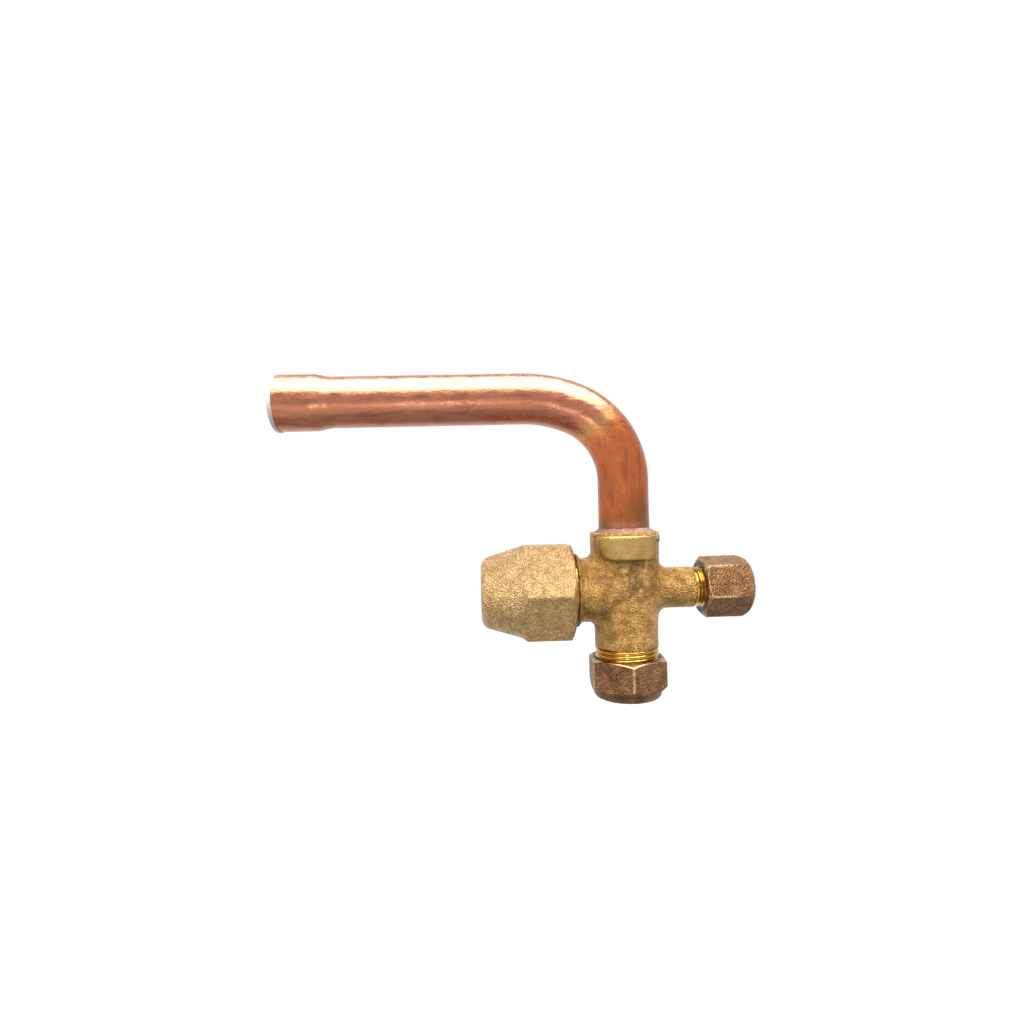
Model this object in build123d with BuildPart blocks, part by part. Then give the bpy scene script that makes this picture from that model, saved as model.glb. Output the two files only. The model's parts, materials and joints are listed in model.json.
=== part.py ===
from build123d import *
from math import radians, sin, sqrt
import os

# Three-way refrigerant service valve for a 5/8 inch suction line, in millimetres.
# The origin is the centre of the tube's bell mouth. +X runs along the tube's horizontal leg
# towards the bend, and +Z is up. The flare nut points to -X, the charging port to +X and the
# stem to -Z. Lengths of the valve are measured outwards from the centre of its cross.

# Copper tube that goes to the outdoor unit, with a belled end
tube_od = 15.88
tube_wall = 0.8
pipe_reach = 106.9          # bell mouth to the valve's vertical axis
pipe_rise = 60.9            # valve centre to the axis of the horizontal leg
entry_bend_radius = 42.0    # the bend eases in, then tightens
entry_bend_angle = 23.0
main_bend_radius = 25.0
bell_bore = 16.0
bell_depth = 10.5
bell_neck = 6.0

# Plug that keeps dust out of the bell
plug_flange_od = 18.1
plug_flange_thickness = 1.4
plug_shank_depth = 9.0
plug_wall = 1.1
plug_gap = 0.08

# Forged brass cross
socket_od = 21.6
socket_height = 18.2
socket_depth = 9.0
socket_gap = 0.05           # braze gap around the tube
stem_branch_od = 19.9
stem_branch_length = 29.0
flare_branch_od = 20.1
port_branch_od = 12.8
flare_root_fillet = 2.4
port_root_fillet = 3.0
draft_clear = 0.4           # the upright's draft ends this far outside the branch roots
pad_width = 17.4            # smooth spanner pad on the front and the back of the socket
pad_bottom = 11.1
pad_drop = 1.0              # from the mouth of the socket down to the top of the pad
pad_rise = 0.7
pad_foot_corner = 2.9
pad_top_corner = 0.8
pad_edge = 0.45

# Braze ring where the tube enters the socket
braze_height = 1.3
braze_width = 1.5
braze_lip = 0.35
braze_hollow = 0.85          # where the hollow face passes, at half its height

# Screw threads: outside radius, root radius, and where the thread starts and ends
flare_thread_radius = 11.11     # 7/8-14 UNF
flare_root_radius = 10.0
flare_thread_start = 14.8
flare_thread_end = 26.0
cap_thread_radius = 10.0        # M20 x 1.25
cap_root_radius = 9.35
cap_thread_start = 15.2
port_thread_radius = 6.35       # 1/2-20 UNF
port_root_radius = 5.6
port_thread_start = 20.3
port_thread_end = 33.0
stem_thread_radius = 7.45       # M15 x 1
stem_root_radius = 6.85
thread_gap = 0.05

# Bores of the cross
seat_passage_radius = 5.2
seat_height = 7.6           # top of the 45 degree valve seat
guide_radius = 6.8          # bore that the stem's O-ring slides in
guide_land = 0.2            # guide bore left beyond the O-ring's groove when the stem is open
flare_passage_radius = 5.4
port_passage_radius = 1.5
edge_break = 0.4

# Male flare and the blanking bonnet on it
flare_tip_radius = 6.2
flare_cone_radius = 9.6
bonnet_wall = 0.8
bonnet_face = 0.9
bonnet_rim = 0.1            # how far the bonnet's rim lies inside the cone's large end
seat_gap = 0.15             # along the axis, between two cones

# Flare nut
nut_flats = 29.0
nut_turn = 1.5              # how far its corners are turned about the X axis, in degrees
nut_start = 17.1
nut_shoulder = 33.2
nut_end = 45.8
nut_nose_radius = 10.55
nut_pipe_gap = 0.11         # between the field pipe and the nose bore
nut_corner = 0.8
nut_chamfer = 1.8
nut_shoulder_chamfer = 1.3
nut_round = 2.0
nut_throat = 0.25           # how much wider than the nose bore the throat behind the seat starts
nut_throat_clear = 0.25     # from the bonnet's face to the end of the throat
nut_line = 37.1             # ring line round the nose
nut_line_width = 0.4
nut_line_depth = 0.12

# Valve stem, its O-ring and the ring that keeps it in
stem_gap = 0.06
stem_head_radius = 6.4
stem_tip_radius = 4.8
stem_head_length = 1.2
stem_neck_radius = 4.0
stem_piston_start = 6.3
stem_thread_clear = 0.2     # between the end of the guide bore and the stem's thread
stem_end = 19.4
stem_travel = 7.0
key_flats = 5.0
key_depth = 5.5
ring_section = 0.75         # radius of the O-ring's section
ring_centre = 7.6
groove_width = 2.2
groove_depth = 1.55
snap_thickness = 0.8
snap_bite = 0.65            # how deep the retaining ring sits in its groove
snap_inner_radius = 6.3
snap_gap = 0.05
snap_opening = 3.6
snap_ear_radius = 1.3
snap_ear_hole = 0.6

# Stem cap and its gasket
stem_cap_flats = 23.0
stem_cap_turn = 3.5         # how far its corners are turned about the Z axis, in degrees
stem_cap_start = 21.3
stem_cap_shoulder = 29.5
stem_cap_end = 34.0
stem_cap_bevel = 0.9
stem_cap_boss_radius = 10.7
stem_cap_round = 1.0
gasket_thickness = 1.2
gasket_gap = 0.1
cap_recess = 0.8

# Charging port cap
port_cap_flats = 17.2
port_cap_turn = 13.3
port_cap_start = 24.0
port_cap_end = 39.3
port_cap_bevel = 1.0
port_cap_dome = 3.4
port_cap_foot_radius = 5.2
port_cap_crown = -0.2        # slope of the dome where it meets the flat foot
port_recess = 1.2
port_length = 35.0
port_tip_radius = 3.6

# Valve core in the charging port
core_bore_radius = 2.75
core_bore_start = 29.2      # inner end of the wide bore
core_seat_length = 1.0
core_well_radius = 2.2
core_well_start = 18.0
core_gap = 0.04
plug_start = 29.9
plug_ring_length = 2.3
tang_length = 2.1
tang_radius = 2.2
tang_width = 2.8
tang_slot = 1.6
barrel_start = 22.5
barrel_radius = 1.55
barrel_bore_radius = 1.2
barrel_floor = 1.2
pin_radius = 0.55
pin_gap = 0.25
pin_start = 20.2
pin_end = 34.5
pin_head_radius = 1.0
pin_collar_radius = 1.05
pin_collar_start = 28.3
pin_collar_length = 0.6
cup_length = 1.6
cup_radius = 1.95
cup_wall = 0.3
cup_floor = 0.4
spring_wire_radius = 0.15
spring_coils = 6

# Derived places
centre = Vector(pipe_reach, 0, -pipe_rise)
tube_radius = tube_od / 2
tube_bore_radius = tube_radius - tube_wall
bell_radius = bell_bore / 2
socket_floor = socket_height - socket_depth
socket_radius = socket_od / 2
stem_branch_radius = stem_branch_od / 2
flare_branch_radius = flare_branch_od / 2
port_branch_radius = port_branch_od / 2
draft_reach = flare_branch_radius + max(flare_root_fillet, port_root_fillet) + draft_clear
flare_tip = flare_thread_end + flare_cone_radius - flare_tip_radius
thread_bore = stem_thread_radius + thread_gap
chamber_top = seat_height - (guide_radius - seat_passage_radius)
guide_end = ring_centre + groove_width / 2 + stem_travel + guide_land
snap_start = stem_end + stem_travel + snap_gap
up_axis = Axis(centre, (0, 0, 1))
across_axis = Axis(centre, (1, 0, 0))

# Half sections through the cross. Local x is the distance outwards from its centre, and
# local y is the radius.
up = Plane(origin=centre, x_dir=(0, 0, 1), z_dir=(0, 1, 0))
down = Plane(origin=centre, x_dir=(0, 0, -1), z_dir=(0, 1, 0))
left = Plane(origin=centre, x_dir=(-1, 0, 0), z_dir=(0, 1, 0))
right = Plane(origin=centre, x_dir=(1, 0, 0), z_dir=(0, -1, 0))


def turned(section, *outline, mode=Mode.ADD):
    """Turn a closed outline of (distance, radius) points about the axis of one branch."""
    with BuildSketch(section) as profile:
        with BuildLine():
            Polyline(*outline, close=True)
        make_face()
    revolve(profile.sketch, axis=Axis(section.origin, section.x_dir), mode=mode)


def bored(section, start, end, radius):
    """Bore a plain hole along one branch, between two distances from the centre."""
    turned(section, (start, 0), (end, 0), (end, radius), (start, radius), mode=Mode.SUBTRACT)


def along(section, distance):
    """Plane across a branch at a distance from the centre, facing outwards."""
    across = (0, 1, 0)
    return Plane(section.origin + section.x_dir * distance, x_dir=across, z_dir=section.x_dir)


# Copper tube: a swept annulus from the socket to the bell, then the turned bell
bend_start = pipe_reach - (
    entry_bend_radius * sin(radians(entry_bend_angle))
    + main_bend_radius * (1 - sin(radians(entry_bend_angle)))
)
neck_end = bell_depth + bell_neck

with BuildPart() as unit_tube:
    with BuildLine(Plane.XZ) as route:
        leg = Line((neck_end, 0), (bend_start, 0))
        entry = JernArc(leg @ 1, leg % 1, entry_bend_radius, -entry_bend_angle)
        bend = JernArc(entry @ 1, entry % 1, main_bend_radius, entry_bend_angle - 90)
        Line(bend @ 1, centre + Vector(0, 0, socket_floor))
    with BuildSketch(Plane.YZ.offset(neck_end)):
        Circle(tube_radius)
        Circle(tube_bore_radius, mode=Mode.SUBTRACT)
    sweep()
    with BuildSketch(Plane.XZ):
        with BuildLine():
            mouth = Line((0, bell_radius), (0, bell_radius + tube_wall))
            outside = Line(mouth @ 1, (bell_depth, bell_radius + tube_wall))
            Spline(outside @ 1, (neck_end, tube_radius), tangents=((1, 0), (1, 0)))
            Line((neck_end, tube_radius), (neck_end, tube_bore_radius))
            inside = Line(mouth @ 0, (bell_depth, bell_radius))
            Spline(inside @ 1, (neck_end, tube_bore_radius), tangents=((1, 0), (1, 0)))
        make_face()
    revolve(axis=Axis.X)
unit_tube.part.label = "unit_tube"

# Dust plug: a thin cup pressed into the bell, closed by its flange
plug_radius = bell_radius - plug_gap
plug_end = Plane(origin=(0, 0, 0), x_dir=(1, 0, 0), z_dir=(0, -1, 0))

with BuildPart() as tube_plug:
    turned(
        plug_end,
        (-plug_flange_thickness, 0),
        (-plug_flange_thickness, plug_flange_od / 2),
        (0, plug_flange_od / 2),
        (0, plug_radius),
        (plug_shank_depth, plug_radius),
        (plug_shank_depth, plug_radius - plug_wall),
        (0, plug_radius - plug_wall),
        (0, 0),
    )
    fillet(tube_plug.edges().group_by(Axis.X)[0], plug_flange_thickness / 3)
tube_plug.part.label = "tube_plug"

# Spanner pad: a shallow curved boss on the front and the back of the socket branch
pad_radius = socket_radius + pad_rise
pad_top = socket_height - pad_drop
pad_height = pad_top - pad_bottom

with BuildPart() as pad:
    with BuildSketch(Plane(origin=centre, x_dir=(1, 0, 0), z_dir=(0, -1, 0))):
        with Locations((0, (pad_top + pad_bottom) / 2)):
            Rectangle(pad_width, pad_height)
        fillet(vertices().group_by(Axis.Y)[0], pad_foot_corner)
        fillet(vertices().group_by(Axis.Y)[-1], pad_top_corner)
    extrude(amount=2 * pad_radius, both=True)
    with BuildSketch(along(up, pad_bottom - pad_height)):
        Circle(pad_radius)
    extrude(amount=3 * pad_height, mode=Mode.INTERSECT)
    crowns = pad.faces().filter_by(GeomType.CYLINDER).sort_by(SortBy.AREA)[-2:]
    fillet(crowns.edges(), pad_edge)

# Forged cross: the upright first, then the side branches with blended roots, then the
# machined ends and the bores
with BuildPart() as valve_body:
    turned(
        up,
        (socket_height, 0),
        (socket_height, socket_radius - edge_break),
        (socket_height - edge_break, socket_radius),
        (draft_reach, socket_radius),
        (-draft_reach, stem_branch_radius),
        (-cap_thread_start, stem_branch_radius),
        (-cap_thread_start, 0),
    )
    turned(left, (0, 0), (flare_thread_start, 0), (flare_thread_start, flare_branch_radius),
           (0, flare_branch_radius))
    fillet(valve_body.edges(Select.NEW).filter_by(GeomType.BSPLINE), flare_root_fillet)
    turned(right, (0, 0), (port_thread_start, 0), (port_thread_start, port_branch_radius),
           (0, port_branch_radius))
    fillet(valve_body.edges(Select.NEW).filter_by(GeomType.BSPLINE), port_root_fillet)
    add(pad.part)
    # ends turned down to the roots of their threads
    turned(
        down,
        (0, 0),
        (0, cap_root_radius),
        (stem_branch_length - edge_break, cap_root_radius),
        (stem_branch_length, cap_root_radius - edge_break),
        (stem_branch_length, 0),
    )
    turned(
        left,
        (0, 0),
        (0, flare_root_radius),
        (flare_thread_end - edge_break, flare_root_radius),
        (flare_thread_end, flare_cone_radius),
        (flare_tip, flare_tip_radius),
        (flare_tip, 0),
    )
    turned(
        right,
        (0, 0),
        (0, port_root_radius),
        (port_thread_end, port_root_radius),
        (port_length, port_tip_radius),
        (port_length, 0),
    )
    # tube socket, passage and 45 degree seat, then the bores that the stem works in
    bored(up, socket_floor, socket_height, tube_radius + socket_gap)
    bored(up, 0, socket_floor, seat_passage_radius)
    turned(
        up,
        (-guide_end, 0),
        (seat_height, 0),
        (seat_height, seat_passage_radius),
        (chamber_top, guide_radius),
        (-guide_end, guide_radius),
        mode=Mode.SUBTRACT,
    )
    bored(down, guide_end, stem_branch_length, thread_bore)
    bored(down, snap_start - snap_gap, snap_start + snap_thickness + snap_gap,
          thread_bore + snap_bite)
    bored(left, 0, flare_tip, flare_passage_radius)
    # charging port: a narrow passage, the core's well, its sealing taper and the wide bore
    bored(right, 0, core_well_start, port_passage_radius)
    turned(
        right,
        (core_well_start, 0),
        (core_well_start, core_well_radius),
        (core_bore_start - core_seat_length, core_well_radius),
        (core_bore_start, core_bore_radius),
        (port_length, core_bore_radius),
        (port_length, 0),
        mode=Mode.SUBTRACT,
    )
valve_body.part.label = "valve_body"

# Braze ring: a hollow fillet of filler metal between the socket's mouth and the tube
braze_foot = tube_radius + braze_width

with BuildPart() as braze_fillet:
    with BuildSketch(up):
        with BuildLine():
            foot = Line((socket_height, tube_radius), (socket_height, braze_foot))
            lip = Line(foot @ 1, (socket_height + braze_lip, braze_foot))
            face = ThreePointArc(
                lip @ 1,
                (socket_height + braze_height / 2, tube_radius + braze_hollow),
                (socket_height + braze_height, tube_radius),
            )
            Line(face @ 1, foot @ 0)
        make_face()
    revolve(axis=up_axis)
braze_fillet.part.label = "braze_fillet"

# Flare nut: a turned blank with a conical nose, cut to a hexagon, bored for thread and pipe
nose_bore = tube_radius + nut_pipe_gap
nut_radius = nut_flats / 2
nut_corner_radius = nut_flats / sqrt(3)
bonnet_inside = flare_thread_end + seat_gap         # where the bonnet's inner cone starts
bonnet_outside = bonnet_inside + bonnet_wall * sqrt(2)
nut_seat = bonnet_outside + seat_gap
bonnet_floor = flare_tip + seat_gap
bonnet_end = bonnet_floor + bonnet_face
throat_start_radius = nose_bore + nut_throat
nut_seat_end = nut_seat + flare_cone_radius - throat_start_radius
nut_throat_end = bonnet_end + nut_throat_clear
nut_bore = flare_thread_radius + 2 * thread_gap
nose_slope = (nut_radius - nut_nose_radius) / (nut_end - nut_shoulder)
nut_line_radius = nut_nose_radius + nose_slope * (nut_end - nut_line) - nut_line_depth

with BuildPart() as flare_nut:
    turned(
        left,
        (nut_start, 0),
        (nut_start, nut_radius - nut_chamfer / 2),
        (nut_start + nut_chamfer, nut_corner_radius),
        (nut_shoulder - nut_shoulder_chamfer, nut_corner_radius),
        (nut_shoulder, nut_radius),
        (nut_end, nut_nose_radius),
        (nut_end, 0),
    )
    fillet(flare_nut.edges().group_by(Axis.X)[0], nut_round)
    with BuildSketch(along(left, nut_start)):
        RegularPolygon(nut_radius, 6, major_radius=False, rotation=nut_turn)
        fillet(vertices(), nut_corner)
    extrude(amount=nut_end - nut_start, mode=Mode.INTERSECT)
    bored(left, nut_start, nut_seat - thread_gap, nut_bore)
    turned(
        left,
        (nut_start, 0),
        (nut_start, flare_cone_radius),
        (nut_seat, flare_cone_radius),
        (nut_seat_end, throat_start_radius),
        (nut_throat_end, nose_bore),
        (nut_end - edge_break, nose_bore),
        (nut_end, nose_bore + edge_break),
        (nut_end, 0),
        mode=Mode.SUBTRACT,
    )
    turned(
        left,
        (nut_line - nut_line_width / 2, nut_line_radius),
        (nut_line - nut_line_width / 2, nut_radius),
        (nut_line + nut_line_width / 2, nut_radius),
        (nut_line + nut_line_width / 2, nut_line_radius),
        mode=Mode.SUBTRACT,
    )
flare_nut.part.label = "flare_nut"

# Blanking bonnet: a closed cone pinched between the male flare and the nut
with BuildPart() as flare_bonnet:
    turned(
        left,
        (bonnet_inside + bonnet_rim, flare_cone_radius - bonnet_rim),
        (bonnet_outside + bonnet_rim, flare_cone_radius - bonnet_rim),
        (bonnet_end, flare_cone_radius - (bonnet_end - bonnet_outside)),
        (bonnet_end, 0),
        (bonnet_floor, 0),
        (bonnet_floor, flare_cone_radius - (bonnet_floor - bonnet_inside)),
    )
flare_bonnet.part.label = "flare_bonnet"

# Stem: a cone that closes on the seat, a slim neck that the gas flows round, an O-ring
# piston, and the threaded end with its hexagon socket
stem_cone_top = chamber_top - seat_gap + guide_radius - stem_tip_radius
stem_cone_end = chamber_top - seat_gap + guide_radius - stem_head_radius
stem_head_end = stem_cone_end - stem_head_length
piston_radius = guide_radius - stem_gap
groove_radius = piston_radius - groove_depth
stem_thread_top = guide_end + stem_thread_clear

with BuildPart() as valve_stem:
    turned(
        down,
        (-stem_cone_top, 0),
        (-stem_cone_top, stem_tip_radius),
        (-stem_cone_end, stem_head_radius),
        (-stem_head_end, stem_head_radius),
        (-stem_head_end + edge_break, stem_neck_radius),
        (stem_piston_start - edge_break, stem_neck_radius),
        (stem_piston_start, piston_radius),
        (ring_centre - groove_width / 2, piston_radius),
        (ring_centre - groove_width / 2, groove_radius),
        (ring_centre + groove_width / 2, groove_radius),
        (ring_centre + groove_width / 2, piston_radius),
        (stem_thread_top, piston_radius),
        (stem_thread_top, stem_root_radius),
        (stem_end - edge_break, stem_root_radius),
        (stem_end, stem_root_radius - edge_break),
        (stem_end, 0),
    )
    with BuildSketch(along(down, stem_end)):
        RegularPolygon(key_flats / 2, 6, major_radius=False)
    extrude(amount=-key_depth, mode=Mode.SUBTRACT)
valve_stem.part.label = "valve_stem"

# O-ring in the stem's groove, clear of the bore by the same gap as the piston
ring_radius = guide_radius - stem_gap - ring_section

with BuildPart() as stem_o_ring:
    with BuildSketch(down):
        with Locations((ring_centre, ring_radius)):
            Circle(ring_section)
    revolve(axis=up_axis)
stem_o_ring.part.label = "stem_o_ring"

# Retaining ring: an open spring ring in the groove at the mouth, with two eyes for pliers
snap_outer_radius = thread_bore + snap_bite - snap_gap
eye_spread = snap_opening / 2 + snap_ear_radius
eye_reach = sqrt((snap_outer_radius - snap_ear_radius) ** 2 - eye_spread**2)

with BuildPart() as stem_retaining_ring:
    with BuildSketch(along(down, snap_start)):
        Circle(snap_outer_radius)
        Circle(snap_inner_radius, mode=Mode.SUBTRACT)
        with Locations((snap_outer_radius, 0)):
            Rectangle(snap_outer_radius, snap_opening, mode=Mode.SUBTRACT)
        with Locations((eye_reach, eye_spread), (eye_reach, -eye_spread)):
            Circle(snap_ear_radius)
            Circle(snap_ear_hole, mode=Mode.SUBTRACT)
    extrude(amount=snap_thickness)
stem_retaining_ring.part.label = "stem_retaining_ring"

# Stem cap: hexagon cap with a bevelled mouth, cut at 45 degrees to a round boss at its end
stem_cap_floor = stem_branch_length + gasket_thickness
stem_cap_bore = cap_thread_radius + thread_gap
stem_cap_corner = stem_cap_flats / sqrt(3)

with BuildPart() as stem_cap:
    turned(
        down,
        (stem_cap_start, 0),
        (stem_cap_start, stem_cap_flats / 2 - edge_break),
        (stem_cap_start + stem_cap_bevel, stem_cap_corner),
        (stem_cap_shoulder, stem_cap_corner),
        (stem_cap_shoulder + stem_cap_corner - stem_cap_boss_radius, stem_cap_boss_radius),
        (stem_cap_end, stem_cap_boss_radius),
        (stem_cap_end, 0),
    )
    fillet(stem_cap.edges().group_by(Axis.Z)[0], stem_cap_round)
    with BuildSketch(along(down, stem_cap_start)):
        RegularPolygon(stem_cap_flats / 2, 6, major_radius=False, rotation=stem_cap_turn)
        fillet(vertices(), edge_break)
    extrude(amount=stem_cap_end - stem_cap_start, mode=Mode.INTERSECT)
    bored(down, stem_cap_start, stem_cap_floor, stem_cap_bore)
    bored(down, stem_cap_floor, stem_cap_floor + cap_recess, thread_bore)
stem_cap.part.label = "stem_cap"

with BuildPart() as stem_cap_gasket:
    with BuildSketch(along(down, stem_branch_length)):
        Circle(stem_cap_bore - gasket_gap)
        Circle(thread_bore, mode=Mode.SUBTRACT)
    extrude(amount=gasket_thickness)
stem_cap_gasket.part.label = "stem_cap_gasket"

# Charging port cap: a smaller hexagon with a domed end, and its gasket on the port's tip
port_cap_floor = port_length + gasket_thickness
port_cap_bore = port_thread_radius + thread_gap
port_cap_corner = port_cap_flats / sqrt(3)

with BuildPart() as service_cap:
    with BuildSketch(right):
        with BuildLine():
            face = Line((port_cap_start, 0), (port_cap_start, port_cap_flats / 2 - edge_break))
            bevel = Line(face @ 1, (port_cap_start + port_cap_bevel, port_cap_corner))
            side = Line(bevel @ 1, (port_cap_end - port_cap_dome, port_cap_corner))
            dome = TangentArc(side @ 1, (port_cap_end, port_cap_foot_radius), tangent=(1, port_cap_crown))
            Polyline(dome @ 1, (port_cap_end, 0), face @ 0)
        make_face()
    revolve(axis=across_axis)
    with BuildSketch(along(right, port_cap_start)):
        RegularPolygon(port_cap_flats / 2, 6, major_radius=False, rotation=port_cap_turn)
        fillet(vertices(), edge_break)
    extrude(amount=port_cap_end - port_cap_start, mode=Mode.INTERSECT)
    bored(right, port_cap_start, port_cap_floor, port_cap_bore)
    bored(right, port_cap_floor, port_cap_floor + port_recess, core_bore_radius)
service_cap.part.label = "service_cap"

with BuildPart() as service_cap_gasket:
    with BuildSketch(along(right, port_length)):
        Circle(port_cap_bore - gasket_gap)
        Circle(core_bore_radius, mode=Mode.SUBTRACT)
    extrude(amount=gasket_thickness)
service_cap_gasket.part.label = "service_cap_gasket"

# Valve core. Plug: a threaded ring with a slotted tang that a core key turns
with BuildPart() as core_plug:
    with BuildSketch(along(right, plug_start)):
        Circle(core_bore_radius - core_gap)
    extrude(amount=plug_ring_length)
    with BuildSketch(along(right, plug_start + plug_ring_length)):
        Circle(tang_radius)
        Rectangle(2 * tang_radius, tang_width, mode=Mode.INTERSECT)
    extrude(amount=tang_length)
    with BuildSketch(along(right, plug_start + plug_ring_length)):
        Rectangle(tang_slot, 2 * tang_radius)
    extrude(amount=tang_length, mode=Mode.SUBTRACT)
    bored(right, plug_start, plug_start + plug_ring_length, pin_radius + pin_gap)
core_plug.part.label = "core_plug"

# Barrel: the tube that the pin and its spring work in, with a collar under the gasket
collar_end = core_bore_start - core_seat_length - core_gap
collar_length = core_seat_length

with BuildPart() as core_barrel:
    turned(
        right,
        (barrel_start, 0),
        (barrel_start, barrel_radius),
        (collar_end - collar_length, barrel_radius),
        (collar_end - collar_length, core_well_radius - core_gap),
        (collar_end, core_well_radius - core_gap),
        (collar_end, barrel_radius),
        (plug_start, barrel_radius),
        (plug_start, 0),
    )
    bored(right, barrel_start, plug_start, pin_radius + pin_gap)
    bored(right, barrel_start + barrel_floor, plug_start, barrel_bore_radius)
core_barrel.part.label = "core_barrel"

# Gasket: a cone that seals the barrel in the port's taper
with BuildPart() as core_gasket:
    turned(
        right,
        (collar_end, barrel_radius),
        (collar_end, core_well_radius - core_gap),
        (core_bore_start, core_bore_radius - core_gap),
        (plug_start, core_bore_radius - core_gap),
        (plug_start, barrel_radius),
    )
core_gasket.part.label = "core_gasket"

# Pin: headed at its inner end, with a collar that the spring pushes outwards
cup_start = barrel_start - cup_length

with BuildPart() as core_pin:
    turned(
        right,
        (pin_start, 0),
        (pin_start, pin_head_radius),
        (cup_start, pin_head_radius),
        (cup_start, pin_radius),
        (pin_collar_start, pin_radius),
        (pin_collar_start, pin_collar_radius),
        (pin_collar_start + pin_collar_length, pin_collar_radius),
        (pin_collar_start + pin_collar_length, pin_radius),
        (pin_end, pin_radius),
        (pin_end, 0),
    )
    fillet(core_pin.edges().group_by(Axis.X)[-1], pin_radius / 3)
core_pin.part.label = "core_pin"

# Cup pressed on the pin, and the seal ring in it that closes on the barrel's inner end
with BuildPart() as core_seal_cup:
    turned(
        right,
        (cup_start, pin_radius),
        (cup_start, cup_radius),
        (barrel_start - cup_floor, cup_radius),
        (barrel_start - cup_floor, cup_radius - cup_wall),
        (cup_start + cup_floor, cup_radius - cup_wall),
        (cup_start + cup_floor, pin_radius),
    )
core_seal_cup.part.label = "core_seal_cup"

with BuildPart() as core_pin_seal:
    turned(
        right,
        (cup_start + cup_floor, pin_radius),
        (cup_start + cup_floor, cup_radius - cup_wall),
        (barrel_start, cup_radius - cup_wall),
        (barrel_start, pin_radius),
    )
core_pin_seal.part.label = "core_pin_seal"

# Spring: from the barrel's floor to the pin's collar
spring_radius = barrel_bore_radius - core_gap - spring_wire_radius
spring_start = barrel_start + barrel_floor + spring_wire_radius
spring_length = pin_collar_start - spring_start - spring_wire_radius

with BuildPart() as core_spring:
    with BuildLine() as coil:
        Helix(
            pitch=spring_length / spring_coils,
            height=spring_length,
            radius=spring_radius,
            center=centre + Vector(spring_start, 0, 0),
            direction=(1, 0, 0),
        )
    with BuildSketch(Plane(origin=coil.line @ 0, z_dir=coil.line % 0)):
        Circle(spring_wire_radius)
    sweep(path=coil.line, is_frenet=True)
core_spring.part.label = "core_spring"

pieces = (
    valve_body,
    unit_tube,
    braze_fillet,
    tube_plug,
    flare_nut,
    flare_bonnet,
    valve_stem,
    stem_o_ring,
    stem_retaining_ring,
    stem_cap,
    stem_cap_gasket,
    service_cap,
    service_cap_gasket,
    core_plug,
    core_barrel,
    core_gasket,
    core_pin,
    core_seal_cup,
    core_pin_seal,
    core_spring,
)

os.makedirs("parts", exist_ok=True)
for piece in pieces:
    export_step(piece.part, f"parts/{piece.part.label}.step")
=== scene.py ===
import json
import math
import bmesh
import bpy
from mathutils import Euler, Matrix, Vector, noise


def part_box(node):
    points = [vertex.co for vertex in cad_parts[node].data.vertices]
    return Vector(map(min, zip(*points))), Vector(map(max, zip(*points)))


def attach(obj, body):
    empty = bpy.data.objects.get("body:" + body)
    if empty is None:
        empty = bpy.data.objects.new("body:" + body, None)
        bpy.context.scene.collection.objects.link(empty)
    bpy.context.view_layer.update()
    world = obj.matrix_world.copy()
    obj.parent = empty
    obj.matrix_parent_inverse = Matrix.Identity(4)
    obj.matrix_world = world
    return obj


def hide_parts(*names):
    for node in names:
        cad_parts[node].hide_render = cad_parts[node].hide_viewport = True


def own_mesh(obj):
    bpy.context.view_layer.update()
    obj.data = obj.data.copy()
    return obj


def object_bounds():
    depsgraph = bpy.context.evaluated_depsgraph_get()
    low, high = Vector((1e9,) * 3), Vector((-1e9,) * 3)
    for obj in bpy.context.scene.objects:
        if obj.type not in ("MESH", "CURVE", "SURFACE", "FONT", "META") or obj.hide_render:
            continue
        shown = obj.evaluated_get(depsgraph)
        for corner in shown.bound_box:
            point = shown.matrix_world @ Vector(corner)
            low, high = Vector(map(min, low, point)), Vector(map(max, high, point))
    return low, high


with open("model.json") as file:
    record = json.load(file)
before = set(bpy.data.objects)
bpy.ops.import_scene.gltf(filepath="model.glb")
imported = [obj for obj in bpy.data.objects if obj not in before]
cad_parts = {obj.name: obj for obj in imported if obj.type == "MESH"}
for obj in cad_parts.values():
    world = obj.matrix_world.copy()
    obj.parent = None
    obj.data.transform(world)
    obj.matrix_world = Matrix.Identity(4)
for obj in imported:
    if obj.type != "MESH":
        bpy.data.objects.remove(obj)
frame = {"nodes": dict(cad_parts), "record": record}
cadLow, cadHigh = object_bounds()
nodes = frame["nodes"]
mm = 0.001

# height of the socket's mouth above the centre of the cross, in millimetres
socketMouth = 18.2
socketLow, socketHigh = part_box("braze_fillet")
valveCentre = Vector(((socketLow.x + socketHigh.x) / 2, 0, socketLow.z - socketMouth * mm))

# how far each branch's own axis is turned from straight up
branchTurn = {
    "up": (0, 0, 0),
    "down": (math.pi, 0, 0),
    "flare": (0, -math.pi / 2, 0),
    "port": (0, math.pi / 2, 0),
}


def alongBranch(branch):
    turn = Euler(branchTurn[branch]).to_matrix().to_4x4()
    return Matrix.Translation(valveCentre) @ turn @ Matrix.Scale(mm, 4)


def feed(tree, value, socket):
    if isinstance(value, bpy.types.NodeSocket):
        tree.links.new(value, socket)
    elif socket.type == "RGBA" and len(value) == 3:
        socket.default_value = (*value, 1)
    else:
        socket.default_value = value


def place(tree, kind, inputs=None, **settings):
    node = tree.nodes.new(kind)
    for name, value in settings.items():
        setattr(node, name, value)
    for key, value in (inputs or {}).items():
        feed(tree, value, node.inputs[key])
    return node


def sums(tree, operation, first, second=0.0, clamp=False):
    node = place(tree, "ShaderNodeMath", {0: first, 1: second}, operation=operation, use_clamp=clamp)
    return node.outputs[0]


def spread(tree, value, low, high, start=0.0, end=1.0):
    inputs = {"Value": value, "From Min": low, "From Max": high, "To Min": start, "To Max": end}
    return place(tree, "ShaderNodeMapRange", inputs, interpolation_type="SMOOTHSTEP").outputs[0]


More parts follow.
